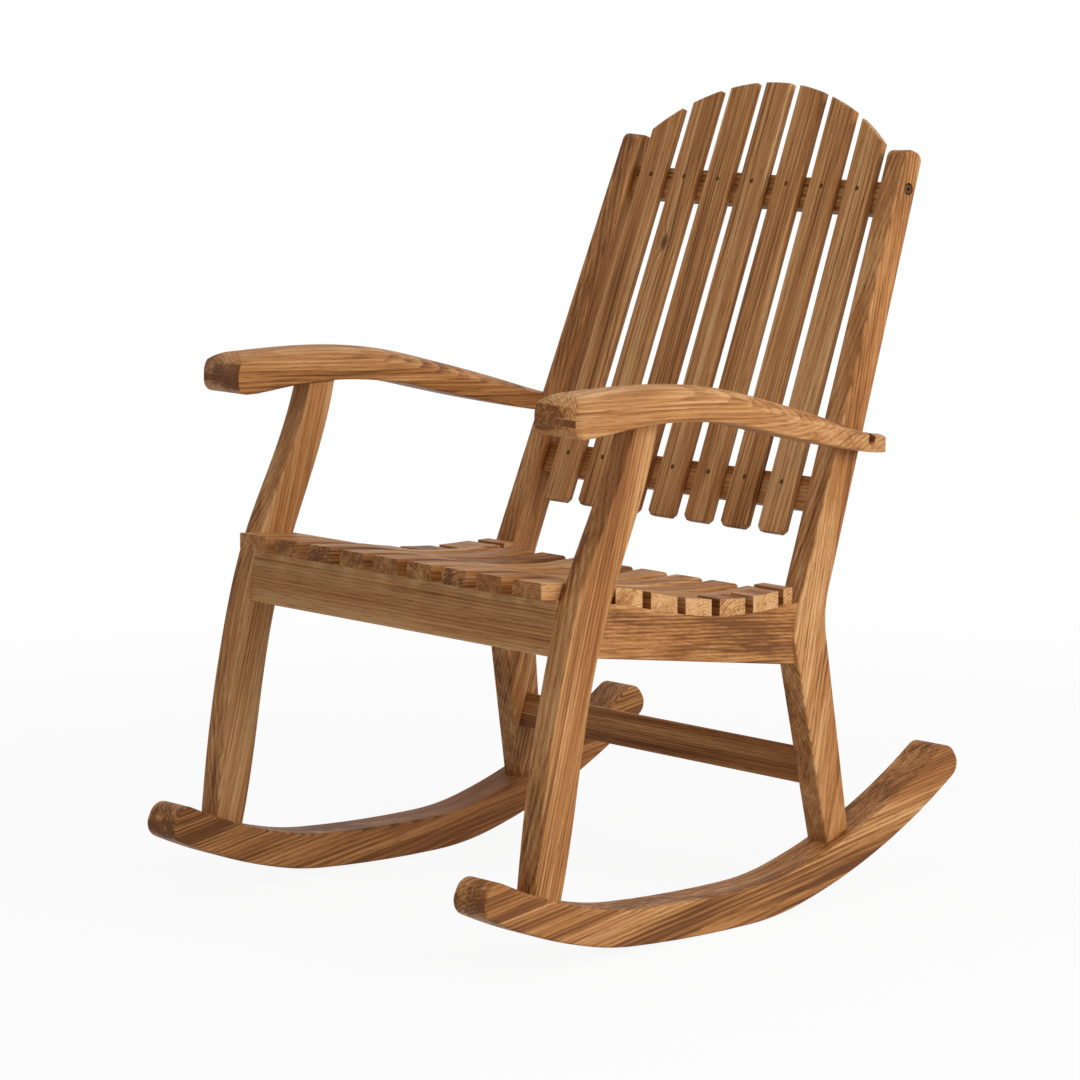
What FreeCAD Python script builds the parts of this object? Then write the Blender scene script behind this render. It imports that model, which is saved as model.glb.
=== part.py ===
import FreeCAD, Part
import math
import os

# Rocking adirondack chair in solid hardwood, in millimetres.
# X runs across the chair, Y from the sitter's feet to the back, Z up from the floor.
# The right-hand pieces are modelled and the left-hand ones are their mirror images.

# Rockers
rocker_height = 47.0           # section, from the running edge to the top
rocker_width = 57.0
rocker_outer = 317.5           # centre plane to the outer side
rocker_contact = 116.0         # where the empty chair balances on the floor, along Y
rocker_front_bends = ((2200.0, 5.0), (490.0, 8.7), (840.0, 13.7))   # radius and degrees, from the contact
rocker_rear_bends = ((2200.0, 0.4), (430.0, 12.0), (890.0, 22.0))
rocker_end_round = 20.0
rocker_edge_round = 4.0

# Front legs, which carry the arms
leg_thickness = 34.0
leg_inset = 4.0                # front leg's outer side behind the rocker's outer side
front_foot = -224.5            # middle of the foot, along Y
front_leg_sweep = 168.5        # how far the leg's top stands behind its foot
front_foot_width = 43.0
front_shin_width = 55.0
front_knee_width = 57.0
front_top_width = 42.0
leg_edge_round = 3.0

# Rear legs, which run on up as the back posts
rear_foot = 311.5
rear_foot_width = 42.0
rear_leg_inset = 17.5          # rear foot's outer side behind the rocker's outer side
post_lean = 2.8                # degrees that each rear leg leans in towards its top
knee_height = 357.3            # where the front edges of leg and post meet
knee_front = 236.0
knee_width = 59.0
knee_rise = 18.0               # rear edge bends this much higher than the front edge
back_angle = 21.9              # degrees from upright
post_length = 647.0            # from the knee along the post
post_tip_width = 32.0
post_tip_round = 12.0
knee_front_round = 80.0
knee_rear_round = 130.0

# Arms
arm_height = 651.8             # underside, over the front leg
arm_nose = -205.0
arm_fall = 78.0                # drop of the underside from the front leg to the rear end
arm_width = 70.0
arm_lap = 7.5                  # arm's inner side inside the front leg's inner side
arm_thickness = 44.0
arm_rear_width = 28.0
arm_rear_thickness = 23.0
arm_rear_overhang = 23.8       # past the back of the post
arm_crown = 17.0               # rise of the domed top over its edges
arm_nose_round = 30.0          # upper corner in side view; the lower one has half of it
arm_edge_round = 3.0

# Seat
seat_front = -200.0            # front ends of the slats
seat_rear = 216.0
seat_front_height = 467.8      # top of the slats at the front
seat_dish = 54.0               # drop to the lowest place
seat_thickness = 21.0
seat_slat_count = 9
seat_slat_gap = 18.6
outer_slat_width = 50.5        # outer slat's front end
seat_slat_round = 2.5
seat_lip_round = 6.0
edge_slat_gap = 0.6            # outer slat to the front leg
bearer_count = 5
bearer_width = 50.0
bearer_pitch = 66.0
bearer_first = -106.0
bearer_web = 8.0               # part of the bearer that runs on under the slats
corner_block_width = 18.0
corner_block_length = 50.0
corner_block_setback = 3.0     # behind the rail's outer side
corner_block_gap = 6.0         # behind the slats

# Rails and stretcher
side_rail_thickness = 24.0
side_rail_inset = 3.0          # behind the outer side of each leg
side_rail_height = 67.5        # at the front leg, under the slats
side_rail_slope = 9.0          # degrees that the lower edge falls to the rear
front_rail_thickness = 28.0
front_rail_height = 70.0
front_rail_overhang = 26.0     # slat ends ahead of the rail
rear_rail_thickness = 22.0
rear_rail_height = 50.0
stretcher_height = 46.0
stretcher_thickness = 22.0
stretcher_level = 169.8        # middle of its section above the floor
stretcher_tilt = 15.0
rail_edge_round = 3.0

# Back
back_slat_count = 7
back_slat_thickness = 12.0
back_slat_gap = 16.5           # between slats at their upper ends
back_edge_gap_high = 12.9      # outer slat to the post, at the upper and the lower ends
back_edge_gap_low = 26.8
back_slat_setback = 3.0        # behind the front of the posts
back_slat_start = 122.0        # lower ends, along the post from the knee
back_arch_rise = 80.0          # crown of the arched top over the post's tip
back_arch_radius = 328.0
back_slat_foot_bevel = 6.0
back_slat_round = 2.0
back_rail_height = 44.0
back_rail_thickness = 18.0
lower_back_rail = 182.0        # middle of the rail, along the post from the knee
upper_rail_drop = 67.0         # middle of the rail, from the post's tip
screw_line_rise = 7.5          # screws over the middle of each rail
post_bolt_rise = 16.0          # over the middle of the upper rail
post_bolt_depth = 20.0         # behind the front of the post

# Fixings
bolt_diameter = 6.0
bolt_head_diameter = 13.0
bolt_head_height = 4.0
bolt_recess_diameter = 16.0
bolt_recess_depth = 5.0
bolt_head_bevel = 1.0
bolt_socket = 5.0              # across its flats
bolt_socket_depth = 2.5
socket_sides = 6
post_bolt_length = 60.0
arm_bolt_rise = 19.3           # over the underside of the arm's rear end
arm_bolt_setback = 29.1        # behind the front of the post, along Y
arm_bolt_length = 50.0
screw_diameter = 4.0
screw_head_diameter = 6.5
screw_head_height = 2.0
screw_length = 26.0
screw_sink = 0.6               # head below the face
tenon_thickness = 8.0
tenon_width = 30.0
tenon_length = 40.0            # half in each of the two pieces
foot_tenon_width = 26.0
arm_tenon_width = 24.0
short_tenon_length = 30.0
bearer_tenon_width = 16.0
bearer_tenon_length = 26.0
fit_gap = 0.15                 # round every tenon, bolt and screw
seat_gap = 0.3                 # between lapped pieces
touching = 0.01                # places nearer than this are the same
cut_margin = 20.0              # how far a cutting tool runs past a piece
beyond = 1500.0                # longer than any piece, for cutting tools

front_leg_outer = rocker_outer - leg_inset
front_leg_inner = front_leg_outer - leg_thickness
arm_inner = front_leg_inner - arm_lap
rear_foot_outer = rocker_outer - rear_leg_inset
back_arch_top = post_length + back_arch_rise
upper_back_rail = post_length - upper_rail_drop


def point(y, z, x=0.0):
    return FreeCAD.Vector(x, y, z)


def along_post(distance, depth=0.0, x=0.0):
    """A place measured up the post from the knee and back from its front face."""
    angle = math.radians(back_angle)
    y = knee_front + distance * math.sin(angle) + depth * math.cos(angle)
    z = knee_height + distance * math.cos(angle) - depth * math.sin(angle)
    return point(y, z, x)


def rocker_arcs(bends, side):
    """Arcs of the running edge outward from the contact: centre, radius, first and last angle."""
    arcs = []
    place = point(rocker_contact, 0)
    angle = 0.0
    for radius, degrees in bends:
        centre = place - point(math.sin(angle), -math.cos(angle)) * radius
        end = angle + side * math.radians(degrees)
        arcs.append((centre, radius, angle, end))
        place = centre + point(math.sin(end), -math.cos(end)) * radius
        angle = end
    return arcs


def rocker_edge(depth):
    """Edges of the rocker's curve at a depth inside the running edge, front to rear."""
    edges = []
    arcs = rocker_arcs(rocker_front_bends, -1)[::-1] + rocker_arcs(rocker_rear_bends, 1)
    for centre, radius, first, last in arcs:
        angles = [min(first, last), (first + last) / 2, max(first, last)]
        edges.append(Part.Arc(*[centre + point(math.sin(angle), -math.cos(angle)) * (radius - depth)
                                for angle in angles]).toShape())
    return edges


def rocker_top(y):
    """Height of the rocker's upper side at a place along Y."""
    probe = Part.LineSegment(point(y, -beyond), point(y, beyond)).toShape()
    return probe.distToShape(Part.Wire(rocker_edge(rocker_height)))[1][0][0].z


def spline(points):
    curve = Part.BSplineCurve()
    curve.interpolate(points)
    return curve.toShape()


def rounded_outline(corners):
    """Closed wire through (point, radius) corners, each rounded by its radius."""
    places = [corner[0] for corner in corners]
    cuts = []
    for index, (place, radius) in enumerate(corners):
        back = (places[index - 1] - place).normalize()
        ahead = (places[(index + 1) % len(places)] - place).normalize()
        half_angle = back.getAngle(ahead) / 2
        tangent = radius / math.tan(half_angle)
        middle = (back + ahead).normalize()
        rise = radius / math.sin(half_angle) - radius
        cuts.append((place + back * tangent, place + middle * rise, place + ahead * tangent, radius))
    edges = []
    for index, (start, middle, end, radius) in enumerate(cuts):
        if radius > 0:
            edges.append(Part.Arc(start, middle, end).toShape())
        following = cuts[(index + 1) % len(cuts)][0]
        if end.distanceToPoint(following) > touching:
            edges.append(Part.LineSegment(end, following).toShape())
    return Part.Wire(edges)


def slab(wire, inner, outer):
    """Solid between two X planes with the wire as its outline."""
    solid = Part.Face(wire).extrude(point(0, 0, outer - inner))
    solid.translate(point(0, 0, inner))
    return solid


def ease(solid, radius, chosen):
    """Round the edges that the test picks."""
    return solid.makeFillet(radius, [edge for edge in solid.Edges if chosen(edge)])


def is_flat_to(axis_value, coordinate):
    """Test for edges that lie wholly at one value of a coordinate."""
    def test(edge):
        box = edge.BoundBox
        low, high = {"x": (box.XMin, box.XMax), "y": (box.YMin, box.YMax)}[coordinate]
        return abs(low - axis_value) < touching and abs(high - axis_value) < touching
    return test


def ease_sides(solid, inner, outer, radius):
    """Round the outline's edges on both side faces of a slab."""
    on_inner = is_flat_to(inner, "x")
    on_outer = is_flat_to(outer, "x")
    return ease(solid, radius, lambda edge: on_inner(edge) or on_outer(edge))


def mirrored(shape):
    return shape.mirror(point(0, 0), FreeCAD.Vector(1, 0, 0))


def largest_solid(shape):
    return max(shape.Solids, key=lambda solid: solid.Volume)


def middle_solid(shape):
    """The piece of a cut that holds the chair's centre plane."""
    return min(shape.Solids, key=lambda solid: abs(solid.BoundBox.Center.x))


def rod(start, direction, length, diameter):
    return Part.makeCylinder(diameter / 2, length, start, direction)


def bore(start, axis, length, diameter):
    """Bore for a rod, a little wider and longer than the rod."""
    return rod(start - axis * fit_gap, axis, length + 2 * fit_gap, diameter + 2 * fit_gap)


def fitted(solid, cutters):
    return largest_solid(solid.cut(cutters))


def both_sides(solids):
    return list(solids) + [mirrored(solid) for solid in solids]


# Rocker: a bow of constant section with both ends rounded over.
def end_line(first_edges, second_edges, last):
    """Straight end between the running edge and the top at the front or the rear."""
    where = -1 if last else 0
    ends = [edges[where].Vertexes[where].Point for edges in (first_edges, second_edges)]
    return Part.LineSegment(*ends).toShape()


def make_rocker():
    running, top = rocker_edge(0), rocker_edge(rocker_height)
    outline = Part.Wire(Part.__sortEdges__(
        running + top + [end_line(running, top, False), end_line(running, top, True)]))
    inner = rocker_outer - rocker_width
    blank = slab(outline, inner, rocker_outer)
    tips = [running[0].Vertexes[0].Point, running[-1].Vertexes[-1].Point,
            top[0].Vertexes[0].Point, top[-1].Vertexes[-1].Point]
    ends = [edge for edge in blank.Edges
            if edge.BoundBox.XLength > rocker_width / 2
            and any(math.hypot(edge.CenterOfMass.y - tip.y, edge.CenterOfMass.z - tip.z) < touching
                    for tip in tips)]
    blank = blank.makeFillet(rocker_end_round, ends)
    return ease_sides(blank, inner, rocker_outer, rocker_edge_round)


def above_rocker(solid):
    """What stands over the rocker's top, so that a foot fits its curve."""
    top = rocker_edge(rocker_height)
    start, end = top[0].Vertexes[0].Point, top[-1].Vertexes[-1].Point
    high = [point(end.y, beyond), point(start.y, beyond)]
    lines = [Part.LineSegment(end, high[0]), Part.LineSegment(*high), Part.LineSegment(high[1], start)]
    region = Part.Wire(Part.__sortEdges__(top + [line.toShape() for line in lines]))
    return largest_solid(solid.common(slab(region, 0, rocker_outer)))


# Front leg: a long S that sweeps back from the rocker to the arm.
front_leg_curve = [            # share of the height, share of the sweep, width
    (0.0, 0.0, front_foot_width),
    (0.20, 0.12, front_shin_width),
    (0.46, 0.295, front_shin_width),
    (0.66, 0.515, front_knee_width),
    (0.845, 0.81, (front_knee_width + front_top_width) / 2),
    (1.0, 1.0, front_top_width)]


def make_front_leg():
    foot_level = rocker_top(front_foot) - cut_margin
    rise = arm_height - foot_level
    front, rear = [], []
    for height_share, sweep_share, width in front_leg_curve:
        middle = front_foot + front_leg_sweep * sweep_share
        level = foot_level + rise * height_share
        front.append(point(middle - width / 2, level))
        rear.append(point(middle + width / 2, level))
    edges = [
        spline(front),
        Part.LineSegment(front[-1], rear[-1]).toShape(),
        spline(rear[::-1]),
        Part.LineSegment(rear[0], front[0]).toShape()]
    leg = slab(Part.Wire(edges), front_leg_inner, front_leg_outer)
    leg = ease_sides(leg, front_leg_inner, front_leg_outer, leg_edge_round)
    return above_rocker(leg)


# Rear leg and back post: one piece that bends at the seat and leans in.
def lean_in(shape):
    pivot = point(0, rocker_top(rear_foot), rear_foot_outer)
    leaned = shape.copy()
    leaned.rotate(pivot, FreeCAD.Vector(0, 1, 0), -post_lean)
    return leaned


def post_outer(level):
    """Outer side of the leaning rear leg at a height."""
    return rear_foot_outer - math.tan(math.radians(post_lean)) * (level - rocker_top(rear_foot))


def post_inner(level):
    return post_outer(level) - leg_thickness / math.cos(math.radians(post_lean))


def make_rear_leg():
    below = rocker_top(rear_foot) - cut_margin
    corners = [
        (point(rear_foot - rear_foot_width / 2, below), 0),
        (point(knee_front, knee_height), knee_front_round),
        (along_post(post_length), post_tip_round),
        (along_post(post_length, post_tip_width), post_tip_round),
        (point(knee_front + knee_width, knee_height + knee_rise), knee_rear_round),
        (point(rear_foot + rear_foot_width / 2, below), 0)]
    inner = rear_foot_outer - leg_thickness
    leg = slab(rounded_outline(corners), inner, rear_foot_outer)
    leg = ease_sides(leg, inner, rear_foot_outer, leg_edge_round)
    return above_rocker(lean_in(leg))


def rear_leg_middle(level):
    """Middle of the leg below the knee, along Y, at a height."""
    foot_level = rocker_top(rear_foot)
    share = (level - foot_level) / (knee_height - foot_level)
    return rear_foot + (knee_front + knee_width / 2 - rear_foot) * share


# Arm: a domed section that arches from the nose down to the outer side of the post.
def post_rear(level):
    """Back of the post at a height, along Y."""
    low = point(knee_front + knee_width, knee_height + knee_rise)
    high = along_post(post_length, post_tip_width)
    return low.y + (high.y - low.y) * (level - low.z) / (high.z - low.z)


arm_rear = post_rear(arm_height - arm_fall) + arm_rear_overhang
nose_fall = 0.08
nose_thickness = 1.20
arm_sections = [               # shares of the length, fall, crown, thickness and width
    (-0.02, nose_fall, 0.70, nose_thickness, 1.0),
    (0.12, 0.04, 0.80, 1.14, 1.0),
    (0.245, -0.01, 0.95, 1.02, 1.0),
    (0.35, 0.03, 1.0, 0.98, 1.0),
    (0.475, 0.17, 1.0, 0.955, 1.0),
    (0.60, 0.40, 1.0, 0.93, 0.97),
    (0.725, 0.63, 0.8, 0.865, 0.86),
    (0.85, 0.84, 0.45, 0.715, 0.66),
    (1.0, 1.02, 0.2, arm_rear_thickness / arm_thickness, arm_rear_width / arm_width)]


def arm_section(share, fall_share, crown_share, thickness_share, width_share):
    y = arm_nose + (arm_rear - arm_nose) * share
    low = arm_height - arm_fall * fall_share
    inner, outer = arm_inner, arm_inner + arm_width * width_share
    thickness = arm_thickness * thickness_share
    edge_top = low + thickness - arm_crown * crown_share
    r = arm_edge_round
    lag = r * (1 - math.cos(math.pi / 4))

    def line(x1, z1, x2, z2):
        return Part.LineSegment(point(y, z1, x1), point(y, z2, x2)).toShape()

    def arc(*places):
        return Part.Arc(*[point(y, z, x) for x, z in places]).toShape()

    return Part.Wire([
        line(inner + r, low, outer - r, low),
        arc((outer - r, low), (outer - lag, low + lag), (outer, low + r)),
        line(outer, low + r, outer, edge_top),
        arc((outer, edge_top), ((inner + outer) / 2, low + thickness), (inner, edge_top)),
        line(inner, edge_top, inner, low + r),
        arc((inner, low + r), (inner + lag, low + lag), (inner + r, low))])


def make_arm():
    blank = Part.makeLoft([arm_section(*section) for section in arm_sections], True, False)
    low = arm_height - arm_fall * nose_fall
    high = low + arm_thickness * nose_thickness
    far = arm_rear + cut_margin
    trim = rounded_outline([
        (point(arm_nose, low), arm_nose_round / 2),
        (point(arm_nose, high), arm_nose_round),
        (point(far, high + cut_margin), 0),
        (point(far, low - arm_fall * 2), 0),
        (point(arm_nose + arm_width, low), 0)])
    return largest_solid(blank.common(slab(trim, 0, beyond)))


# Seat: nine contoured slats from front to back, lapped over cross bearers.
seat_depth = seat_rear - seat_front
seat_curve = [                 # share of the depth, share of the dish
    (-0.04, -0.03), (0.0, 0.0), (0.22, 0.20), (0.40, 0.51), (0.57, 0.80),
    (0.74, 0.985), (0.88, 1.04), (1.0, 1.03), (1.14, 1.03)]


def seat_line(drop):
    """Points of the seat's curve, a drop below the top of the slats."""
    return [point(seat_front + seat_depth * share, seat_front_height - seat_dish * fall - drop)
            for share, fall in seat_curve]


def seat_height(y):
    """Top of the seat at a place along Y."""
    curve = spline(seat_line(0))
    probe = Part.LineSegment(point(y, 0), point(y, beyond)).toShape()
    return curve.distToShape(probe)[1][0][0].z


def seat_layer(top, bottom, front, rear, half_width):
    """Solid between two depths below the seat's curve, cut square front and rear."""
    upper, lower = seat_line(top), seat_line(bottom)
    wire = Part.Wire([
        spline(upper),
        Part.LineSegment(upper[-1], lower[-1]).toShape(),
        spline(lower[::-1]),
        Part.LineSegment(lower[0], upper[0]).toShape()])
    layer = slab(wire, -half_width, half_width)
    keep = Part.makeBox(2 * half_width, rear - front, beyond, FreeCAD.Vector(-half_width, front, 0))
    return layer.common(keep)


rail_front_outer = front_leg_outer - side_rail_inset
rail_rear_outer = post_outer(knee_height) - side_rail_inset
rail_front_end = front_foot + (front_leg_sweep + front_knee_width) / 2
rail_taper = (rail_front_outer - rail_rear_outer) / (knee_front - rail_front_end)


def plan_prism(front_half, reference, setback=0.0):
    """Upright prism that narrows to the rear as the side rails do."""
    def half(y):
        return front_half - rail_taper * (y - reference) - setback

    front, rear = seat_front - cut_margin, knee_front + knee_width
    corners = [FreeCAD.Vector(half(front), front, 0), FreeCAD.Vector(half(rear), rear, 0),
               FreeCAD.Vector(-half(rear), rear, 0), FreeCAD.Vector(-half(front), front, 0)]
    return Part.Face(Part.makePolygon(corners + corners[:1])).extrude(FreeCAD.Vector(0, 0, beyond))


slat_half_width = front_leg_inner - edge_slat_gap
slat_field = plan_prism(slat_half_width, seat_front)
slat_field_opening = plan_prism(slat_half_width + seat_gap, seat_front)
rail_field = plan_prism(rail_front_outer, rail_front_end)
corner_block_field = plan_prism(rail_front_outer, rail_front_end, corner_block_setback)


def bearer_places():
    return [(bearer_first + bearer_pitch * index, bearer_first + bearer_pitch * index + bearer_width)
            for index in range(bearer_count)]


def make_seat_bearer(front, rear):
    """Full height at both ends, and a thin web under the slats between them."""
    blank = seat_layer(0, seat_thickness, front, rear, rocker_outer).common(rail_field)
    web_top = seat_thickness - bearer_web
    housing = seat_layer(-seat_thickness, web_top, front - cut_margin, rear + cut_margin, rocker_outer)
    return largest_solid(blank.cut(housing.common(slat_field_opening)))


def make_corner_block():
    """Short block behind the outer slat, at the foot of the post."""
    front = seat_rear + corner_block_gap
    blank = seat_layer(0, seat_thickness, front, front + corner_block_width, rocker_outer)
    blank = blank.common(corner_block_field)
    corner = FreeCAD.Vector(rail_rear_outer - corner_block_setback - corner_block_length, 0, 0)
    return largest_solid(blank.common(Part.makeBox(beyond, beyond, beyond, corner)))


seat_slat_width = ((2 * (slat_half_width - outer_slat_width) - (seat_slat_count - 1) * seat_slat_gap)
                   / (seat_slat_count - 2))


def make_seat_slats():
    layer = seat_layer(0, seat_thickness, seat_front, seat_rear, rocker_outer)
    lip = [edge for edge in layer.Edges
           if edge.BoundBox.YMin > seat_rear - touching and edge.BoundBox.ZLength < touching
           and edge.BoundBox.ZMin > seat_height(seat_rear) - seat_thickness / 2]
    layer = layer.makeFillet(seat_lip_round, lip)
    for front, rear in bearer_places():
        layer = layer.cut(seat_layer(seat_thickness - bearer_web - seat_gap, 2 * seat_thickness,
                                     front - seat_gap, rear + seat_gap, rocker_outer + cut_margin))
    layer = largest_solid(layer.common(slat_field))
    slats = []
    middle = (seat_slat_count - 1) / 2
    for index in range(seat_slat_count):
        inner = (index - middle) * (seat_slat_width + seat_slat_gap) - seat_slat_width / 2
        outer = inner + seat_slat_width
        if index == 0:
            inner = -rocker_outer
        if index == seat_slat_count - 1:
            outer = rocker_outer
        strip = Part.makeBox(outer - inner, beyond, beyond, FreeCAD.Vector(inner, -beyond / 2, 0))
        slat = largest_solid(layer.common(strip))
        slats.append(ease(slat, seat_slat_round, lambda edge: edge.Length > seat_depth / 2))
    return slats


# Rails: two dished side rails, a front and a rear rail, and the low stretcher.
seat_block = seat_layer(-side_rail_height, seat_thickness, seat_front, knee_front + cut_margin,
                        rocker_outer)


def make_side_rail(front_leg, rear_leg):
    front, rear = rail_front_end - front_knee_width, knee_front + knee_width
    slope = math.tan(math.radians(side_rail_slope))
    top = seat_height(rail_front_end)
    low_front = top - seat_thickness - side_rail_height + slope * (rail_front_end - front)
    low_rear = low_front - slope * (rear - front)
    wire = Part.makePolygon([point(front, low_front), point(rear, low_rear), point(rear, top),
                             point(front, top), point(front, low_front)])
    inner = rail_front_outer - side_rail_thickness
    rail = slab(Part.Wire(wire.Edges), inner, rail_front_outer)
    low_edges = [edge for edge in rail.Edges
                 if edge.BoundBox.ZMax < low_front + touching and edge.BoundBox.YLength > touching]
    rail = rail.makeFillet(rail_edge_round, low_edges)
    pivot = FreeCAD.Vector(rail_front_outer, rail_front_end, 0)
    rail.rotate(pivot, FreeCAD.Vector(0, 0, 1), math.degrees(math.atan(rail_taper)))
    return largest_solid(rail.cut([seat_block, front_leg, rear_leg]))


def tilted_box(length, thickness, height, tilt, middle):
    """Board across the chair, leaned back by the tilt, with its long edges eased."""
    board = Part.makeBox(length, thickness, height,
                         FreeCAD.Vector(-length / 2, -thickness / 2, -height / 2))
    board = ease(board, rail_edge_round, lambda edge: edge.Length > length - touching)
    board.rotate(FreeCAD.Vector(0, 0, 0), FreeCAD.Vector(1, 0, 0), -tilt)
    board.translate(middle)
    return board


front_rail_top = seat_height(seat_front + front_rail_overhang) - seat_thickness
front_rail_middle = point(
    seat_front + front_rail_overhang + front_rail_thickness / 2
    - math.sin(math.radians(side_rail_slope)) * front_rail_height / 2,
    front_rail_top - front_rail_height / 2)


def make_front_rail():
    rail = tilted_box(2 * front_leg_inner, front_rail_thickness, front_rail_height + 2 * seat_gap,
                      side_rail_slope, front_rail_middle)
    return largest_solid(rail.cut(seat_block))


rear_rail_front = bearer_first + bearer_pitch * (bearer_count - 1) + bearer_width - rear_rail_thickness
rear_rail_top = seat_height(rear_rail_front) - seat_thickness


def make_rear_rail(side_rails):
    rail = Part.makeBox(2 * rocker_outer, rear_rail_thickness, rear_rail_height + cut_margin,
                        FreeCAD.Vector(-rocker_outer, rear_rail_front, rear_rail_top - rear_rail_height))
    return middle_solid(rail.cut(side_rails + [seat_block]))


stretcher_middle = point(rear_leg_middle(stretcher_level), stretcher_level)


def make_stretcher(rear_legs):
    board = tilted_box(2 * rocker_outer, stretcher_thickness, stretcher_height, stretcher_tilt,
                       stretcher_middle)
    return middle_solid(board.cut(rear_legs))


# Back: seven slats that fan with the posts, cut to one arch, on two cross rails.
across_back = along_post(0, 1) - along_post(0, 0)


def back_board(half_span, low, high, front, thickness):
    """Board across the back between two heights up the post."""
    corners = [along_post(low, front, -half_span), along_post(low, front, half_span),
               along_post(high, front, half_span), along_post(high, front, -half_span)]
    return Part.Face(Part.makePolygon(corners + corners[:1])).extrude(across_back * thickness)


def arch_waste():
    """What lies outside the arched top of the slats."""
    centre = back_arch_top - back_arch_radius
    blank = back_board(beyond / 2, centre, centre + beyond, back_slat_setback - cut_margin,
                       back_slat_thickness + 2 * cut_margin)
    disc = Part.makeCylinder(back_arch_radius, back_slat_thickness + 4 * cut_margin,
                             along_post(centre, back_slat_setback - 2 * cut_margin), across_back)
    return blank.cut(disc)


half_low = post_inner(along_post(back_slat_start).z) - back_edge_gap_low
half_high = post_inner(along_post(back_arch_top).z) - back_edge_gap_high
back_slat_width = (2 * half_high - (back_slat_count - 1) * back_slat_gap) / back_slat_count


back_slat_offsets = [index - (back_slat_count - 1) / 2 for index in range(back_slat_count)]


def back_slat_x(offset, distance):
    """Centre of a slat across the chair at a height up the post."""
    share = (distance - back_slat_start) / (back_arch_top - back_slat_start)
    half = half_low + (half_high - half_low) * share
    return offset * (2 * half - back_slat_width) / (back_slat_count - 1)


def lies_in_face(edge):
    """Test for edges that run along the back's front or rear plane, not through its thickness."""
    start, end = edge.Vertexes[0].Point, edge.Vertexes[-1].Point
    return abs((end - start).dot(across_back)) < touching


def make_back_slats():
    slats = []
    half = back_slat_width / 2
    bevel = back_slat_foot_bevel
    waste = arch_waste()
    for offset in back_slat_offsets:
        low = back_slat_x(offset, back_slat_start)
        high = back_slat_x(offset, back_arch_top)
        places = [(low - half + bevel, back_slat_start), (low + half - bevel, back_slat_start),
                  (low + half, back_slat_start + bevel), (high + half, back_arch_top + cut_margin),
                  (high - half, back_arch_top + cut_margin), (low - half, back_slat_start + bevel)]
        corners = [along_post(distance, back_slat_setback, x) for x, distance in places]
        slat = Part.Face(Part.makePolygon(corners + corners[:1])).extrude(across_back * back_slat_thickness)
        slat = largest_solid(slat.cut(waste))
        slats.append(ease(slat, back_slat_round, lies_in_face))
    return slats


back_rail_front = back_slat_setback + back_slat_thickness


def make_back_rail(place, rear_legs):
    board = back_board(rocker_outer, place - back_rail_height / 2, place + back_rail_height / 2,
                       back_rail_front, back_rail_thickness)
    board = ease(board, back_slat_round, lambda edge: edge.Length > rocker_outer)
    return middle_solid(board.cut(rear_legs))


# Loose tenons, half in each of two pieces: middle, axis, width direction, width and length.
up = FreeCAD.Vector(0, 0, 1)
backward = FreeCAD.Vector(0, 1, 0)
outward = FreeCAD.Vector(1, 0, 0)


def tenon(place, gap=0.0):
    """The tenon at a place; with a gap it is the mortise that takes it."""
    middle, axis, across, width, length = place
    corner = FreeCAD.Vector(-width / 2 - gap, -tenon_thickness / 2 - gap, -length / 2 - gap)
    box = Part.makeBox(-2 * corner.x, -2 * corner.y, -2 * corner.z, corner)
    box.Placement = FreeCAD.Placement(middle, FreeCAD.Rotation(across, axis.cross(across), axis))
    return box


def mortises(places):
    return [tenon(place, fit_gap) for place in places]


def leaned_back(degrees):
    """Upright direction, leaned back by an angle."""
    return point(math.sin(math.radians(degrees)), math.cos(math.radians(degrees)))


front_leg_x = front_leg_outer - leg_thickness / 2
rear_leg_x = rear_foot_outer - leg_thickness / 2
front_foot_tenon = (point(front_foot, rocker_top(front_foot), front_leg_x), up, backward,
                    foot_tenon_width, tenon_length)
rear_foot_tenon = (point(rear_foot, rocker_top(rear_foot), rear_leg_x), up, backward,
                   foot_tenon_width, tenon_length)
arm_tenon = (point(front_foot + front_leg_sweep, arm_height, front_leg_x), up, backward,
             arm_tenon_width, short_tenon_length)
front_rail_tenon = (point(front_rail_middle.y, front_rail_middle.z, front_leg_inner), outward,
                    leaned_back(side_rail_slope), tenon_width, tenon_length)
rail_level_front = seat_height(rail_front_end) - seat_thickness - side_rail_height / 2
rail_level_rear = rail_level_front - (knee_front - rail_front_end) * math.tan(math.radians(side_rail_slope))
rail_x_front = rail_front_outer - side_rail_thickness / 2
rail_x_rear = rail_rear_outer - side_rail_thickness / 2
rail_front_tenon = (point(rail_front_end, rail_level_front, rail_x_front), backward, up,
                    tenon_width, tenon_length)
rail_rear_tenon = (point(knee_front, rail_level_rear, rail_x_rear), backward, up, tenon_width, tenon_length)
rear_rail_tenon = (
    point(rear_rail_front + rear_rail_thickness / 2, rear_rail_top - rear_rail_height / 2,
          rail_x_rear - side_rail_thickness / 2),
    outward, up, tenon_width, short_tenon_length)
stretcher_tenon = (point(stretcher_middle.y, stretcher_level, post_inner(stretcher_level)), outward,
                   leaned_back(stretcher_tilt), tenon_width, short_tenon_length)
lower_rail_end = along_post(lower_back_rail, back_rail_front + back_rail_thickness / 2)
back_rail_tenon = (point(lower_rail_end.y, lower_rail_end.z, post_inner(lower_rail_end.z)), outward,
                   leaned_back(back_angle), tenon_width, short_tenon_length)
corner_block_place = (seat_rear + corner_block_gap, seat_rear + corner_block_gap + corner_block_width)
bearer_tenons = []
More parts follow.
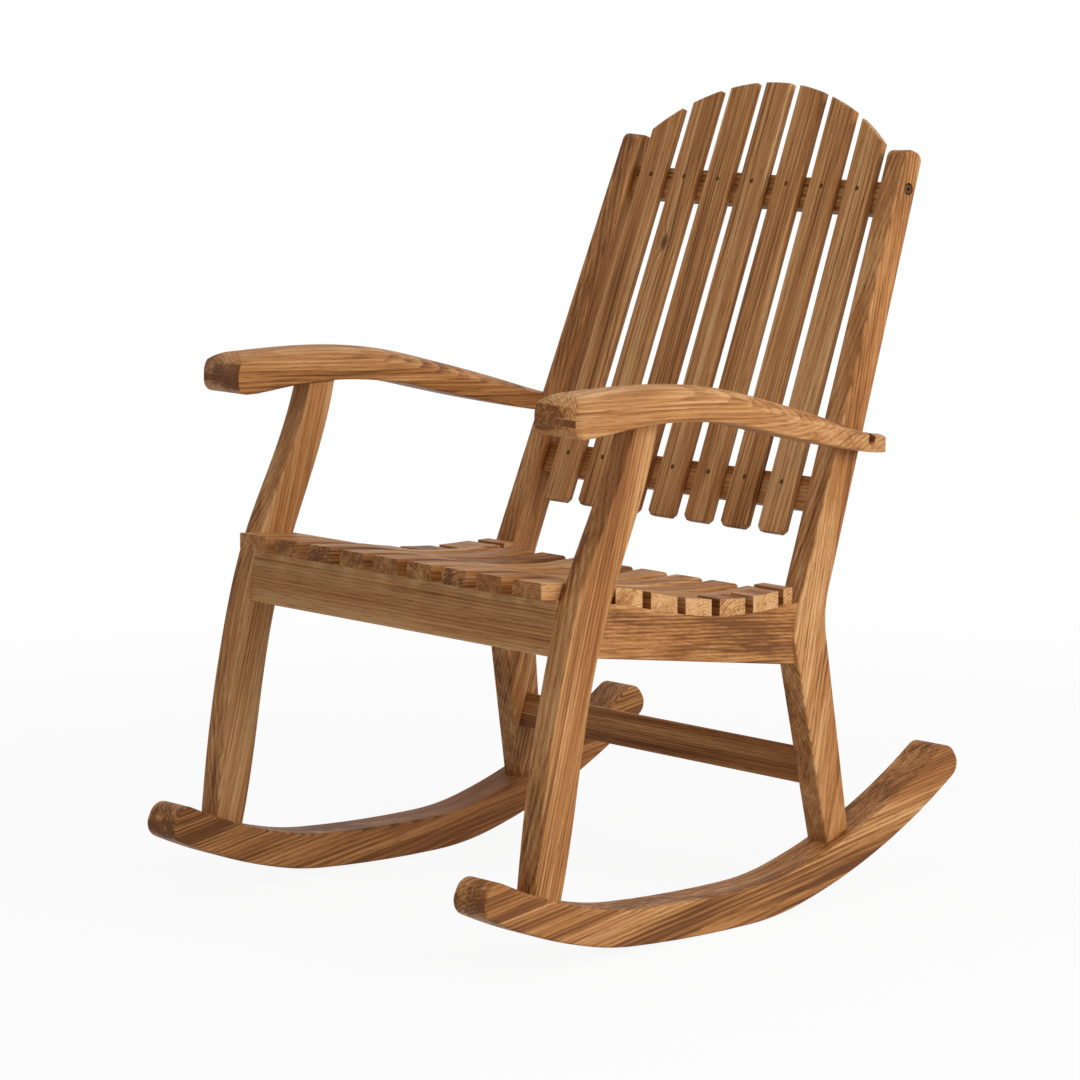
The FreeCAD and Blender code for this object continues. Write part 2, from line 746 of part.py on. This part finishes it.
for bearer_start, bearer_end in bearer_places() + [corner_block_place]:
    bearer_middle = (bearer_start + bearer_end) / 2
    bearer_tenons.append((
        point(bearer_middle, seat_height(bearer_middle) - seat_thickness,
              rail_x_front - rail_taper * (bearer_middle - rail_front_end)),
        up, backward, bearer_tenon_width, bearer_tenon_length))
rail_tenons = [front_rail_tenon, rail_front_tenon, rail_rear_tenon, rear_rail_tenon]


# Bolts and screws: each rod is (start, axis, length, diameter), and its bore comes from the same numbers.
post_side = FreeCAD.Rotation(backward, -post_lean).multVec(outward)


def on_post_side(place):
    """The place moved along X onto the outer side of the leaning post."""
    return point(place.y, place.z, post_outer(place.z))


def bolt(face, inward, length):
    """Shaft and head of a bolt that is let into a face, with the recess that it needs."""
    seat = face + inward * bolt_recess_depth
    shaft = (seat, inward, length, bolt_diameter)
    head = (seat - inward * bolt_head_height, inward, bolt_head_height, bolt_head_diameter)
    recess = (face - inward * bolt_recess_depth, inward, 2 * bolt_recess_depth, bolt_recess_diameter)
    return shaft, head, recess


def socket_waste(start, inward):
    """Six-sided plug that stands out of the bolt's head."""
    side = FreeCAD.Rotation(up, inward)
    radius = bolt_socket / math.sqrt(3)
    turns = [math.radians(360 * turn / socket_sides) for turn in range(socket_sides)]
    corners = [start + side.multVec(FreeCAD.Vector(radius * math.cos(turn), radius * math.sin(turn), 0))
               for turn in turns]
    plug = Part.Face(Part.makePolygon(corners + corners[:1])).extrude(inward * bolt_socket_depth)
    plug.translate(inward * -touching)
    return plug


def bolt_solid(shaft, head):
    """Bolt with a bevelled head and a six-sided socket."""
    start, inward, height, diameter = head
    solid = rod(*shaft).fuse(rod(*head)).removeSplitter()
    rim = [edge for edge in solid.Edges
           if edge.CenterOfMass.distanceToPoint(start) < touching and len(edge.Vertexes) == 1]
    solid = solid.makeChamfer(bolt_head_bevel, rim)
    return fitted(solid, [socket_waste(start, inward)])


post_bolt_place = along_post(upper_back_rail + post_bolt_rise, post_bolt_depth)
post_bolt = bolt(on_post_side(post_bolt_place), post_side * -1, post_bolt_length)
arm_bolt_level = arm_height - arm_fall + arm_bolt_rise
arm_bolt_y = (knee_front + (arm_bolt_level - knee_height) * math.tan(math.radians(back_angle))
              + arm_bolt_setback)
arm_bolt = bolt(point(arm_bolt_y, arm_bolt_level, arm_inner + arm_rear_width), outward * -1, arm_bolt_length)


def screw(face, inward):
    """Shaft and head of a screw that is sunk into a face."""
    seat = face + inward * screw_sink
    shaft = (seat, inward, screw_length, screw_diameter)
    head = (seat, inward, screw_head_height, screw_head_diameter)
    return shaft, head


def screw_bores(shaft, head):
    """Bores for a screw, with the head's one open to the face."""
    start, inward, height, diameter = head
    return [bore(*shaft), bore(start - inward * screw_sink, inward, height + screw_sink, diameter)]


back_screws = [
    [screw(along_post(line, back_slat_setback, back_slat_x(offset, line)), across_back)
     for line in (lower_back_rail + screw_line_rise, upper_back_rail + screw_line_rise)]
    for offset in back_slat_offsets]


# Each piece is shaped, fitted to its neighbours, and then mortised and bored for its fixings.
rocker = make_rocker()
front_leg = make_front_leg()
rear_leg = make_rear_leg()
arm = make_arm()
side_rail = make_side_rail(front_leg, rear_leg)
side_rails = both_sides([side_rail])
rear_legs = both_sides([rear_leg])
front_leg = fitted(front_leg, [arm])
arm_housing = rear_leg.copy()
arm_housing.translate(outward * seat_gap)
arm = fitted(arm, [rear_leg, arm_housing])
bolt_bores = [bore(*item) for item in list(post_bolt) + [arm_bolt[0]]]

right_side = {
    "rocker": fitted(rocker, mortises([front_foot_tenon, rear_foot_tenon])),
    "front_leg": fitted(front_leg, mortises([front_foot_tenon, arm_tenon, front_rail_tenon,
                                             rail_front_tenon])),
    "rear_leg": fitted(rear_leg, bolt_bores + mortises([rear_foot_tenon, rail_rear_tenon, stretcher_tenon,
                                                        back_rail_tenon])),
    "arm": fitted(arm, mortises([arm_tenon]) + [bore(*item) for item in arm_bolt]),
    "seat_side_rail": fitted(side_rail, mortises(rail_tenons + bearer_tenons)),
    "seat_corner_block": fitted(make_corner_block(), mortises(bearer_tenons[-1:]))}

pieces = {}
for name, solid in right_side.items():
    pieces[name + "_right"] = solid
    pieces[name + "_left"] = mirrored(solid)

pieces["seat_front_rail"] = fitted(make_front_rail(), both_sides(mortises([front_rail_tenon])))
pieces["seat_rear_rail"] = fitted(make_rear_rail(side_rails), both_sides(mortises([rear_rail_tenon])))
pieces["rear_stretcher"] = fitted(make_stretcher(rear_legs), both_sides(mortises([stretcher_tenon])))
lower_shafts = [bore(*low[0]) for low, high in back_screws]
upper_shafts = [bore(*high[0]) for low, high in back_screws]
pieces["lower_back_rail"] = fitted(make_back_rail(lower_back_rail, rear_legs),
                                   lower_shafts + both_sides(mortises([back_rail_tenon])))
pieces["upper_back_rail"] = fitted(make_back_rail(upper_back_rail, rear_legs),
                                   upper_shafts + both_sides([bore(*post_bolt[0])]))
for index, slat in enumerate(make_back_slats()):
    slat_bores = [cutter for item in back_screws[index] for cutter in screw_bores(*item)]
    pieces["back_slat_%d" % (index + 1)] = fitted(slat, slat_bores)
for index, slat in enumerate(make_seat_slats()):
    pieces["seat_slat_%d" % (index + 1)] = slat
for index, (front, rear) in enumerate(bearer_places()):
    pieces["seat_bearer_%d" % (index + 1)] = fitted(
        make_seat_bearer(front, rear), both_sides(mortises([bearer_tenons[index]])))

pieces["back_slat_screws"] = Part.makeCompound(
    [rod(*shaft).fuse(rod(*head)).removeSplitter() for screws in back_screws for shaft, head in screws])
pieces["post_bolts"] = Part.makeCompound(both_sides([bolt_solid(*post_bolt[:2])]))
pieces["arm_bolts"] = Part.makeCompound(both_sides([bolt_solid(*arm_bolt[:2])]))
tenon_groups = {
    "foot_tenons": [front_foot_tenon, rear_foot_tenon],
    "arm_tenons": [arm_tenon],
    "seat_rail_tenons": rail_tenons,
    "bearer_tenons": bearer_tenons,
    "cross_rail_tenons": [stretcher_tenon, back_rail_tenon]}
for name, places in tenon_groups.items():
    pieces[name] = Part.makeCompound(both_sides([tenon(place) for place in places]))

# The origin is the middle of the chair's length, on the floor.
reach = [vertex.y for solid in (rocker, rear_leg) for vertex in solid.tessellate(fit_gap)[0]]
length_middle = (min(reach) + max(reach)) / 2
os.makedirs("parts", exist_ok=True)
for name, shape in pieces.items():
    placed = shape.copy()
    placed.translate(point(-length_middle, 0))
    placed.exportStep("parts/%s.step" % name)
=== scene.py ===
import math

import bpy
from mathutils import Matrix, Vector


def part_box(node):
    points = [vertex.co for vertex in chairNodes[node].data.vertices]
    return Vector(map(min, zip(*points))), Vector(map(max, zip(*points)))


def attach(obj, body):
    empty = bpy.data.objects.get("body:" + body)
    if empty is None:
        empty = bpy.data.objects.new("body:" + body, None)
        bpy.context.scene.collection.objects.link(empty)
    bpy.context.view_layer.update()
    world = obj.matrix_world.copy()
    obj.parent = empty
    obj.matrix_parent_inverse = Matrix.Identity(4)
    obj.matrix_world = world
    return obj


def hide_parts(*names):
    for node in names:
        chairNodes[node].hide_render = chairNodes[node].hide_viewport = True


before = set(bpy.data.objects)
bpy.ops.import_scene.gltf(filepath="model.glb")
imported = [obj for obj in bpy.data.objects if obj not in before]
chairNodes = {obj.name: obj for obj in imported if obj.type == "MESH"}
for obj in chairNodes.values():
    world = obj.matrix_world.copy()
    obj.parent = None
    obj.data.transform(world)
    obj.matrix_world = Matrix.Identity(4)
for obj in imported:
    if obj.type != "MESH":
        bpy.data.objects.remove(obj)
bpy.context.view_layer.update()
print("frame loaded:", len(chairNodes), "wooden and steel pieces")


# Wraps a socket, so that shader sums read as sums.
class Signal:
    def __init__(self, board, socket):
        self.board = board
        self.socket = socket

    def mathNode(self, operation, first, second=0.0):
        return self.board.add("ShaderNodeMath", {"operation": operation}, {0: first, 1: second})["Value"]

    def __add__(self, other):
        return self.mathNode("ADD", self, other)

    def __radd__(self, other):
        return self.mathNode("ADD", other, self)

    def __sub__(self, other):
        return self.mathNode("SUBTRACT", self, other)

    def __rsub__(self, other):
        return self.mathNode("SUBTRACT", other, self)

    def __mul__(self, other):
        return self.mathNode("MULTIPLY", self, other)

    def __rmul__(self, other):
        return self.mathNode("MULTIPLY", other, self)

    def __truediv__(self, other):
        return self.mathNode("DIVIDE", self, other)

    def __rtruediv__(self, other):
        return self.mathNode("DIVIDE", other, self)

    def __abs__(self):
        return self.mathNode("ABSOLUTE", self)

    def floor(self):
        return self.mathNode("FLOOR", self)

    def fraction(self):
        return self.mathNode("FRACT", self)

    def between(self, low, high):        # goes from 0 to 1 as the value goes from low to high
        return self.board.add("ShaderNodeMapRange", {"interpolation_type": "SMOOTHSTEP"},
                              {"Value": self, "From Min": low, "From Max": high})["Result"]


class Outputs:
    def __init__(self, board, node):
        self.board = board
        self.node = node

    def __getitem__(self, name):
        return Signal(self.board, self.node.outputs[name])


class Board:
    def __init__(self, tree):
        self.tree = tree
        tree.nodes.clear()

    def add(self, kind, settings=None, sockets=None):
        node = self.tree.nodes.new(kind)
        for key, value in (settings or {}).items():
            setattr(node, key, value)
        for key, value in (sockets or {}).items():
            if isinstance(value, Signal):
                self.tree.links.new(value.socket, node.inputs[key])
            else:
                node.inputs[key].default_value = value
        return Outputs(self, node)

    def blend(self, amount, first, second):
        return self.add("ShaderNodeMix", {"data_type": "RGBA"}, {"Factor": amount, 6: first, 7: second})[2]

    def vector(self, operation, *values):
        result = "Value" if operation in ("LENGTH", "DOT_PRODUCT") else "Vector"
        return self.add("ShaderNodeVectorMath", {"operation": operation}, dict(enumerate(values)))[result]


def fromPaint(red, green, blue):         # linear colour of a shade in the usual 0 to 255 numbers
    return (*[((c / 255 + 0.055) / 1.055) ** 2.4 for c in (red, green, blue)], 1.0)


oiledWood = {
    "pale": fromPaint(216, 168, 114),
    "middle": fromPaint(178, 121, 67),
    "dark": fromPaint(108, 64, 28),
    "reddish": fromPaint(160, 98, 46),
    "pore": fromPaint(66, 36, 14),
    "ringWidth": 0.0040,       # metres from one growth ring to the next
    "quickWave": 0.0030,       # metres that the rings wander in short waves
    "ringDepth": 0.31,         # how far each layer moves the tone
    "bandDepth": 1.0,
    "streakDepth": 1.1,
    "fibreDepth": 0.55,
    "slowDepth": 0.9,
    "roughness": 0.50,
    "gloss": 0.2,
    "bump": 0.00030}

# Noises stretched along the grain: waves per metre along it and over it, detail and roughness.
woodNoises = {
    "slowWave": (2.2, 7.0, 1.0, 0.5),
    "quickWave": (9.0, 45.0, 2.0, 0.5),
    "band": (1.7, 55.0, 2.0, 0.55),
    "streak": (3.0, 210.0, 3.0, 0.6),
    "fibre": (14.0, 700.0, 3.0, 0.65),
    "slow": (1.6, 14.0, 2.0, 0.5),
    "warm": (1.2, 9.0, 1.0, 0.5),
    "dashes": (26.0, 390.0, 1.5, 0.5),
    "pores": (42.0, 900.0, 1.0, 0.5)}


# Oiled wood, solid all through: growth rings round a heart line, with fibres and pores along the grain.
def makeTimber(name, cut, seed):
    material = bpy.data.materials.new(name)
    material.use_nodes = True
    board = Board(material.node_tree)
    grain = Vector(cut["grain"]).normalized()
    turn = grain.rotation_difference(Vector((0, 0, 1)))
    heart = (cut["low"] + cut["high"]) / 2 + Vector(cut["toHeart"]).normalized() * cut["far"]
    spot = board.add("ShaderNodeTexCoord")
    log = board.add("ShaderNodeMapping", {}, {"Vector": spot["Object"], "Rotation": turn.to_euler(),
                                              "Location": -(turn @ heart)})["Vector"]
    start = Vector((math.sin(seed * 12.9) * 40, math.sin(seed * 7.7) * 40, math.sin(seed * 3.1) * 40))

    def noise(layer, part="Fac"):
        along, over, detail, rough = woodNoises[layer]
        place = board.add("ShaderNodeMapping", {}, {"Vector": log, "Scale": (over, over, along),
                                                    "Location": start})["Vector"]
        return board.add("ShaderNodeTexNoise", {"noise_dimensions": "3D"},
                         {"Vector": place, "Scale": 1.0, "Detail": detail, "Roughness": rough})[part]

    # the tree's rings, bent by slow waves along the piece
    slowWave = noise("slowWave", "Color")
    quickWave = noise("quickWave", "Color")
    quickReach = (oiledWood["quickWave"], oiledWood["quickWave"], 0.0)
    bent = board.vector("MULTIPLY_ADD", slowWave, (cut["wave"], cut["wave"], 0.0), log)
    bent = board.vector("MULTIPLY_ADD", quickWave, quickReach, bent)
    radius = board.vector("LENGTH", board.vector("MULTIPLY", bent, (1.0, 1.0, 0.0)))
    if "knot" in cut:
        centre, size = turn @ (cut["knot"] - heart), cut["knotSize"]
        away = board.vector("SUBTRACT", log, tuple(centre))
        away = board.vector("LENGTH", board.vector("MULTIPLY", away, (1.0, 1.0, 0.45))) / size
        radius = radius + size * 1.5 / (1.0 + away * away)      # rings flow round the knot
        knotShade = 1.0 - away.between(0.35, 1.1)
    growth = radius / (oiledWood["ringWidth"] * cut["ring"])
    phase = growth.fraction()
    ringNumber = growth.floor()
    eachRing = board.add("ShaderNodeTexWhiteNoise", {"noise_dimensions": "1D"}, {"W": ringNumber})["Value"]
    late = phase.between(0.15, 0.88) * (1.0 - phase.between(0.90, 1.0))
    ringShade = late * (0.25 + eachRing * 0.75)

    # fibres, pores and slow changes of tone
    band = noise("band")
    streak = noise("streak")
    fibre = noise("fibre")
    slow = noise("slow")
    warm = noise("warm")
    dashes = noise("dashes").between(0.60, 0.72)
    pores = noise("pores").between(0.56, 0.68) * (0.35 + late * 0.65)
    # faces sawn across the grain; on the arms these are the front noses, where the end tone is partly painted
    # shade
    sawnAcross = abs(board.vector("DOT_PRODUCT", spot["Normal"], tuple(grain))).between(0.75, 0.92)

    # grain layers plus family and end tones, which for the low pieces and the arm noses are partly painted
    # shade
    lightness = (0.60 - ringShade * oiledWood["ringDepth"] + (band - 0.5) * oiledWood["bandDepth"]
                 + (streak - 0.5) * oiledWood["streakDepth"] + (fibre - 0.5) * oiledWood["fibreDepth"]
                 + (slow - 0.5) * oiledWood["slowDepth"] + sawnAcross * cut["endTone"] + cut["toneAndShade"])
    body = board.blend(lightness.between(0.12, 0.55), oiledWood["dark"], oiledWood["middle"])
    body = board.blend(lightness.between(0.45, 0.95), body, oiledWood["pale"])
    body = board.blend(warm.between(0.42, 0.72) * 0.5, body, oiledWood["reddish"])
    body = board.blend(dashes * 0.38, body, oiledWood["dark"])
    body = board.blend(pores * 0.50, body, oiledWood["pore"])
    if "knot" in cut:
        body = board.blend(knotShade * 0.9, body, oiledWood["pore"])

    height = fibre * 0.5 + lightness * 0.35 - pores * 0.8 - dashes * 0.3
    normal = board.add("ShaderNodeBump", {}, {"Height": height, "Strength": 0.6,
                                              "Distance": oiledWood["bump"]})["Normal"]
    rough = (oiledWood["roughness"] + 0.08) - lightness * 0.12 + (fibre - 0.5) * 0.15
    shader = board.add("ShaderNodeBsdfPrincipled", {},
                       {"Base Color": body, "Roughness": rough, "Normal": normal,
                        "Specular IOR Level": oiledWood["gloss"]})
    board.add("ShaderNodeOutputMaterial", {}, {"Surface": shader["BSDF"]})
    return material


bronzeAndReflectionSteel = {
    # brown metal tints, partly bronze and partly painted reflection of the surrounding wood
    "bolt": fromPaint(112, 84, 58),
    "screw": fromPaint(96, 66, 42),
    "darkShare": 0.45,         # brightness of the dark places, as a share of the rest
    "mottle": 420.0,           # waves per metre
    "scratch": 1900.0,
    "roughness": 0.38,
    "bump": 0.0001}


# Steel tinted brown, partly a bronzed finish and partly painted reflection of the wood round it,
# a little darker where it is worn less.
def makeSteel(name, shade, seed):
    material = bpy.data.materials.new(name)
    material.use_nodes = True
    board = Board(material.node_tree)
    place = board.add("ShaderNodeTexCoord")["Object"]
    mottle = board.add("ShaderNodeTexNoise", {}, {"Vector": place,
                                                  "Scale": bronzeAndReflectionSteel["mottle"] + seed})["Fac"]
    scratch = board.add("ShaderNodeTexNoise", {}, {"Vector": place, "Scale": bronzeAndReflectionSteel["scratch"]})["Fac"]
    darker = tuple(c * bronzeAndReflectionSteel["darkShare"] for c in shade[:3]) + (1.0,)
    body = board.blend(mottle.between(0.35, 0.7), shade, darker)
    normal = board.add("ShaderNodeBump", {}, {"Height": scratch, "Strength": 0.3,
                                              "Distance": bronzeAndReflectionSteel["bump"]})["Normal"]
    rough = bronzeAndReflectionSteel["roughness"] + mottle * 0.25
    shader = board.add("ShaderNodeBsdfPrincipled", {}, {"Base Color": body, "Roughness": rough,
                                                        "Metallic": 1.0, "Normal": normal})
    board.add("ShaderNodeOutputMaterial", {}, {"Surface": shader["BSDF"]})
    return material


# How each family of pieces is cut from its tree: where the grain runs, where the heart lies and how
# far it is in metres, how much the rings wander, and how the board and its sawn ends differ in tone;
# the darker tones of the low pieces and of the arms' sawn noses are partly painted shade.
across = (1, 0, 0)
upright = (0, 0, 1)
cuts = {
    # painted shade: the rocker's darker tone stands partly for less light reaching this low piece
    "rocker": {"grain": (0, 1, 0.14), "toHeart": (0.75, 0, -1), "far": 0.16, "wave": 0.016, "toneAndShade": -0.20},
    "front_leg": {"grain": (0, 0.27, 0.96), "toHeart": (0.8, 1, 0), "far": 0.12, "wave": 0.016, "toneAndShade": 0.05},
    "rear_leg": {"grain": (0, 0.29, 0.96), "toHeart": (0.9, 1, 0), "far": 0.15, "wave": 0.012, "toneAndShade": 0.02},
    # painted shade: the arms' much darker end tone stands partly for shade on their front-facing noses
    "arm_": {"grain": (0, 1, -0.06), "toHeart": (0.45, 0, -1), "far": 0.12, "wave": 0.024, "endTone": -0.45},
    "seat_slat": {"grain": (0, 1, -0.12), "toHeart": (0.5, 0, -1), "far": 0.09, "wave": 0.018},
    "seat_bearer": {"grain": across, "toHeart": (0, 0.4, -1), "far": 0.05, "wave": 0.010, "endTone": 0.30},
    "seat_corner": {"grain": across, "toHeart": (0, 0.4, -1), "far": 0.05, "wave": 0.010, "endTone": 0.20},
    "seat_side_rail": {"grain": (0, 1, -0.155), "toHeart": (0.5, 0, -1), "far": 0.24, "wave": 0.007,
                       "toneAndShade": -0.08},
    "seat_front_rail": {"grain": across, "toHeart": (0, -0.5, -1), "far": 0.22, "wave": 0.008, "toneAndShade": 0.10},
    "seat_rear_rail": {"grain": across, "toHeart": (0, 0.5, -1), "far": 0.15, "wave": 0.012},
    # painted shade: the rear stretcher's darker tone stands partly for less light reaching this low piece
    "rear_stretcher": {"grain": across, "toHeart": (0, -0.5, -1), "far": 0.15, "wave": 0.012, "toneAndShade": -0.2},
    "back_slat": {"grain": (0, 0.373, 0.928), "toHeart": (0.9, 1, -0.4), "far": 0.10, "wave": 0.016},
    "lower_back_rail": {"grain": across, "toHeart": (0, 0.5, -1), "far": 0.15, "wave": 0.012},
    "upper_back_rail": {"grain": across, "toHeart": (0, 0.5, -1), "far": 0.15, "wave": 0.012},
    "foot_tenons": {"grain": upright, "toHeart": across, "far": 0.10, "wave": 0.010},
    "arm_tenons": {"grain": upright, "toHeart": across, "far": 0.10, "wave": 0.010},
    "bearer_tenons": {"grain": upright, "toHeart": across, "far": 0.10, "wave": 0.010},
    "seat_rail_tenons": {"grain": across, "toHeart": upright, "far": 0.10, "wave": 0.010},
    "cross_rail_tenons": {"grain": across, "toHeart": upright, "far": 0.10, "wave": 0.010}}
# A knot stands at a share of the board's height, near its front face; sizes in metres.
knots = {"back_slat_2": {"up": 0.63, "size": 0.007, "toFace": (0, -0.0056, 0.0022)}}

boardSpread = {"far": 0.35, "ring": 0.18, "toneAndShade": 0.08}    # how much boards of a family differ


def cutOf(node, number):
    family = max((name for name in cuts if node.startswith(name)), key=len)
    low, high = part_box(node)
    low, high = Vector(low), Vector(high)
    toHeart = Vector(cuts[family]["toHeart"])
    toHeart.x *= -1 if math.sin(number * 5.3) < 0 else 1
    cut = {"endTone": -0.15, "toneAndShade": 0.0, **cuts[family], "toHeart": toHeart, "low": low, "high": high}
    cut["far"] *= 1 + boardSpread["far"] * math.sin(number * 2.4)    # another place in the log
    cut["ring"] = 1 + boardSpread["ring"] * math.sin(number * 1.7)
    cut["toneAndShade"] += boardSpread["toneAndShade"] * math.sin(number * 3.9)
    if node in knots:
        share = knots[node]["up"]
        inside = ((low.x + high.x) / 2, low.y + (high.y - low.y) * share, low.z + (high.z - low.z) * share)
        cut["knot"] = Vector(inside) + Vector(knots[node]["toFace"])
        cut["knotSize"] = knots[node]["size"]
    return cut


boltSteel = makeSteel("bronzeAndReflectionBolt", bronzeAndReflectionSteel["bolt"], 0.0)
screwSteel = makeSteel("bronzeAndReflectionScrew", bronzeAndReflectionSteel["screw"], 7.0)
for number, (node, piece) in enumerate(sorted(chairNodes.items())):
    if node.endswith("bolts"):
        finish = boltSteel
    elif node.endswith("screws"):
        finish = screwSteel
    else:
        finish = makeTimber("timber_" + node, cutOf(node, number), number + 1.0)
    piece.data.materials.clear()
    piece.data.materials.append(finish)
print("timber and steel set on every piece")


# The round recess over each arm bolt, cut right through the arm's side; sizes in metres.
armRecess = {"radius": 0.0083, "sides": 64, "pastHead": 0.004, "length": 0.014}


def openRecess(node, side):
    low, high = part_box("arm_bolts")
    middle = (low + high) / 2
    x = side * (high.x + armRecess["pastHead"] + armRecess["length"] / 2)
    bpy.ops.mesh.primitive_cylinder_add(vertices=armRecess["sides"], radius=armRecess["radius"],
                                        depth=armRecess["length"], location=(x, middle.y, middle.z),
                                        rotation=(0, math.pi / 2, 0))
    drill = bpy.context.object
    arm = bpy.data.objects.new("opened_" + node, chairNodes[node].data.copy())
    bpy.context.collection.objects.link(arm)
    cutting = arm.modifiers.new("recess", "BOOLEAN")
    cutting.operation = "DIFFERENCE"
    cutting.solver = "EXACT"
    cutting.object = drill
    settled = arm.evaluated_get(bpy.context.evaluated_depsgraph_get())
    opened = bpy.data.meshes.new_from_object(settled)
    arm.modifiers.clear()
    arm.data = opened
    bpy.data.objects.remove(drill)
    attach(arm, "root")
    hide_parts(node)
    print("recess opened:", arm.name, len(opened.polygons), "faces")


openRecess("arm_right", 1)
openRecess("arm_left", -1)


studio = {
    "floorShade": 0.80,
    "floorSize": 40.0,
    "shadowShare": 0.08,       # how much of the real floor the camera sees near the chair
    "shadowReach": (0.9, 2.6),  # metres from the chair over which that fades out
    "floorDrop": 0.0005,
    "worldLight": 0.38,
    "aim": (0, 0, 0.5),
    "softboxes": {
        "sideKey": {"place": (3.2, 0.4, 1.7), "size": 1.8, "power": 71.0},
        "topFill": {"place": (0.6, -0.8, 3.4), "size": 2.4, "power": 21.0}}}


def makeFloor():
    bpy.ops.mesh.primitive_plane_add(size=studio["floorSize"], location=(0, 0, -studio["floorDrop"]))
    floor = bpy.context.object
    floor.name = "paleFloor"
    material = bpy.data.materials.new("paleFloor")
    material.use_nodes = True
    board = Board(material.node_tree)
    shade = studio["floorShade"]
    plain = board.add("ShaderNodeBsdfDiffuse", {}, {"Color": (shade, shade, shade, 1.0)})["BSDF"]
    white = board.add("ShaderNodeEmission", {}, {"Color": (1, 1, 1, 1), "Strength": 1.0})["Emission"]
    ray = board.add("ShaderNodeLightPath")
    away = board.vector("LENGTH", board.add("ShaderNodeTexCoord")["Object"])
    whiteShare = 1.0 - studio["shadowShare"] * (1.0 - away.between(*studio["shadowReach"]))
    seen = (ray["Is Camera Ray"] + ray["Is Glossy Ray"] + ray["Is Transmission Ray"]) * whiteShare
    surface = board.add("ShaderNodeMixShader", {}, {"Fac": seen, 1: plain, 2: white})
    board.add("ShaderNodeOutputMaterial", {}, {"Surface": surface["Shader"]})
    floor.data.materials.append(material)


def makeWorld():
    world = bpy.data.worlds.new("studio")
    world.use_nodes = True
    bpy.context.scene.world = world
    board = Board(world.node_tree)
    ray = board.add("ShaderNodeLightPath")
    seen = ray["Is Camera Ray"] + ray["Is Glossy Ray"] + ray["Is Transmission Ray"]
    light = board.add("ShaderNodeBackground", {}, {"Color": (1, 1, 1, 1), "Strength": studio["worldLight"]})
    white = board.add("ShaderNodeBackground", {}, {"Color": (1, 1, 1, 1), "Strength": 1.0})
    surface = board.add("ShaderNodeMixShader", {}, {"Fac": seen, 1: light["Background"],
                                                    2: white["Background"]})
    board.add("ShaderNodeOutputWorld", {}, {"Surface": surface["Shader"]})


def addSoftbox(name, place, size, power):
    lamp = bpy.data.lights.new(name, "AREA")
    lamp.shape = "SQUARE"
    lamp.size = size
    lamp.energy = power
    holder = bpy.data.objects.new(name, lamp)
    bpy.context.collection.objects.link(holder)
    holder.location = place
    holder.rotation_euler = (Vector(studio["aim"]) - Vector(place)).to_track_quat("-Z", "Y").to_euler()


view = {
    "target": (0.0, -0.0304, 0.4603),
    "azimuth": 46.001,         # degrees round from the front
    "elevation": 8.885,
    "distance": 5.38674,
    "lens": 140.0,
    "filmWidth": 36.0}


def addCamera():
    azimuth = math.radians(view["azimuth"])
    elevation = math.radians(view["elevation"])
    outward = Vector((math.sin(azimuth) * math.cos(elevation), -math.cos(azimuth) * math.cos(elevation),
                      math.sin(elevation)))
    camera = bpy.data.cameras.new("camera")
    camera.lens = view["lens"]
    camera.sensor_width = view["filmWidth"]
    holder = bpy.data.objects.new("camera", camera)
    bpy.context.collection.objects.link(holder)
    holder.location = Vector(view["target"]) + outward * view["distance"]
    holder.rotation_euler = (-outward).to_track_quat("-Z", "Y").to_euler()
    bpy.context.scene.camera = holder


makeFloor()
makeWorld()
for name, softbox in studio["softboxes"].items():
    addSoftbox(name, **softbox)
addCamera()
bpy.context.scene.view_settings.view_transform = "Standard"
print("floor, lights and camera placed")
